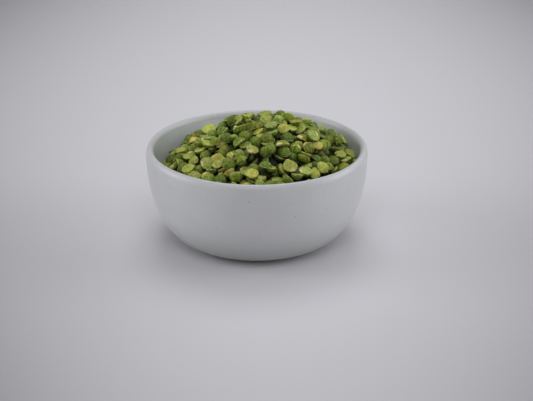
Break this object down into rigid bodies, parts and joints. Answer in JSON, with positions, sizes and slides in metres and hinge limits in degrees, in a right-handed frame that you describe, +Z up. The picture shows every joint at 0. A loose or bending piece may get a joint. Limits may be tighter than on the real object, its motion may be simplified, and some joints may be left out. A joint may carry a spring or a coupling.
{
  "type": "dish of green split peas",
  "caption": "Small round stoneware bowl with a low foot ring, filled with a mounded heap of dried green split peas that stands above the rim.",
  "frame": {"origin": "centre of the foot's underside, on the surface that the bowl stands on", "axes": "+Z up along the bowl's axis; -Y is the side that the picture shows; +X is to the right of it"},
  "size_m": [0.1, 0.1, 0.0594],
  "materials": {
    "glaze": "satin pale grey glaze with fine sparse grey-brown speckles, bare clay on the foot ring",
    "peas": "dry dull green, paler and mottled on the flat cut faces, a few peas yellow or tan"
  },
  "bodies": {
    "root": {"bowl": "glaze", "split_peas": "peas"}
  },
  "joints": []
}
